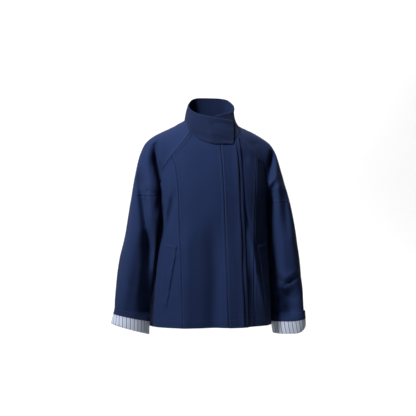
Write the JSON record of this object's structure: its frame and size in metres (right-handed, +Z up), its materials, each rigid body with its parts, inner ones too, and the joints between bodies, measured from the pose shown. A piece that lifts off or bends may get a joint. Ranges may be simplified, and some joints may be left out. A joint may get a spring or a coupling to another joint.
{
  "type": "funnel-neck jacket",
  "caption": "Cloth jacket with a standing funnel collar, raglan sleeves, a concealed front overlap, slanted welt pockets and turned-up cuffs that show a striped lining.",
  "frame": {"origin": "middle of the base of the neck, inside the jacket, at the height of the shoulder point beside the collar", "axes": "+Z up as worn, -Y out of the front, +X towards the left side of the wearer"},
  "size_m": [0.6575, 0.2771, 0.7818],
  "materials": {
    "navy_twill": "matt navy cotton twill",
    "striped_lining": "smooth pale lining with narrow blue stripes"
  },
  "bodies": {
    "root": {"front_centre_right": "navy_twill", "front_centre_left": "navy_twill", "back": "navy_twill", "placket_underlay": "navy_twill", "placket_cover": "navy_twill", "front_side_right": "navy_twill", "pocket_welt_right": "navy_twill", "sleeve_upper_front_right": "navy_twill", "sleeve_upper_back_right": "navy_twill", "sleeve_lower_front_right": "navy_twill", "sleeve_lower_back_right": "navy_twill", "cuff_lining_right": "striped_lining", "cuff_facing_right": "navy_twill", "front_side_left": "navy_twill", "pocket_welt_left": "navy_twill", "sleeve_upper_front_left": "navy_twill", "sleeve_upper_back_left": "navy_twill", "sleeve_lower_front_left": "navy_twill", "sleeve_lower_back_left": "navy_twill", "cuff_lining_left": "striped_lining", "cuff_facing_left": "navy_twill", "collar": "navy_twill", "collar_facing": "navy_twill"}
  },
  "joints": []
}
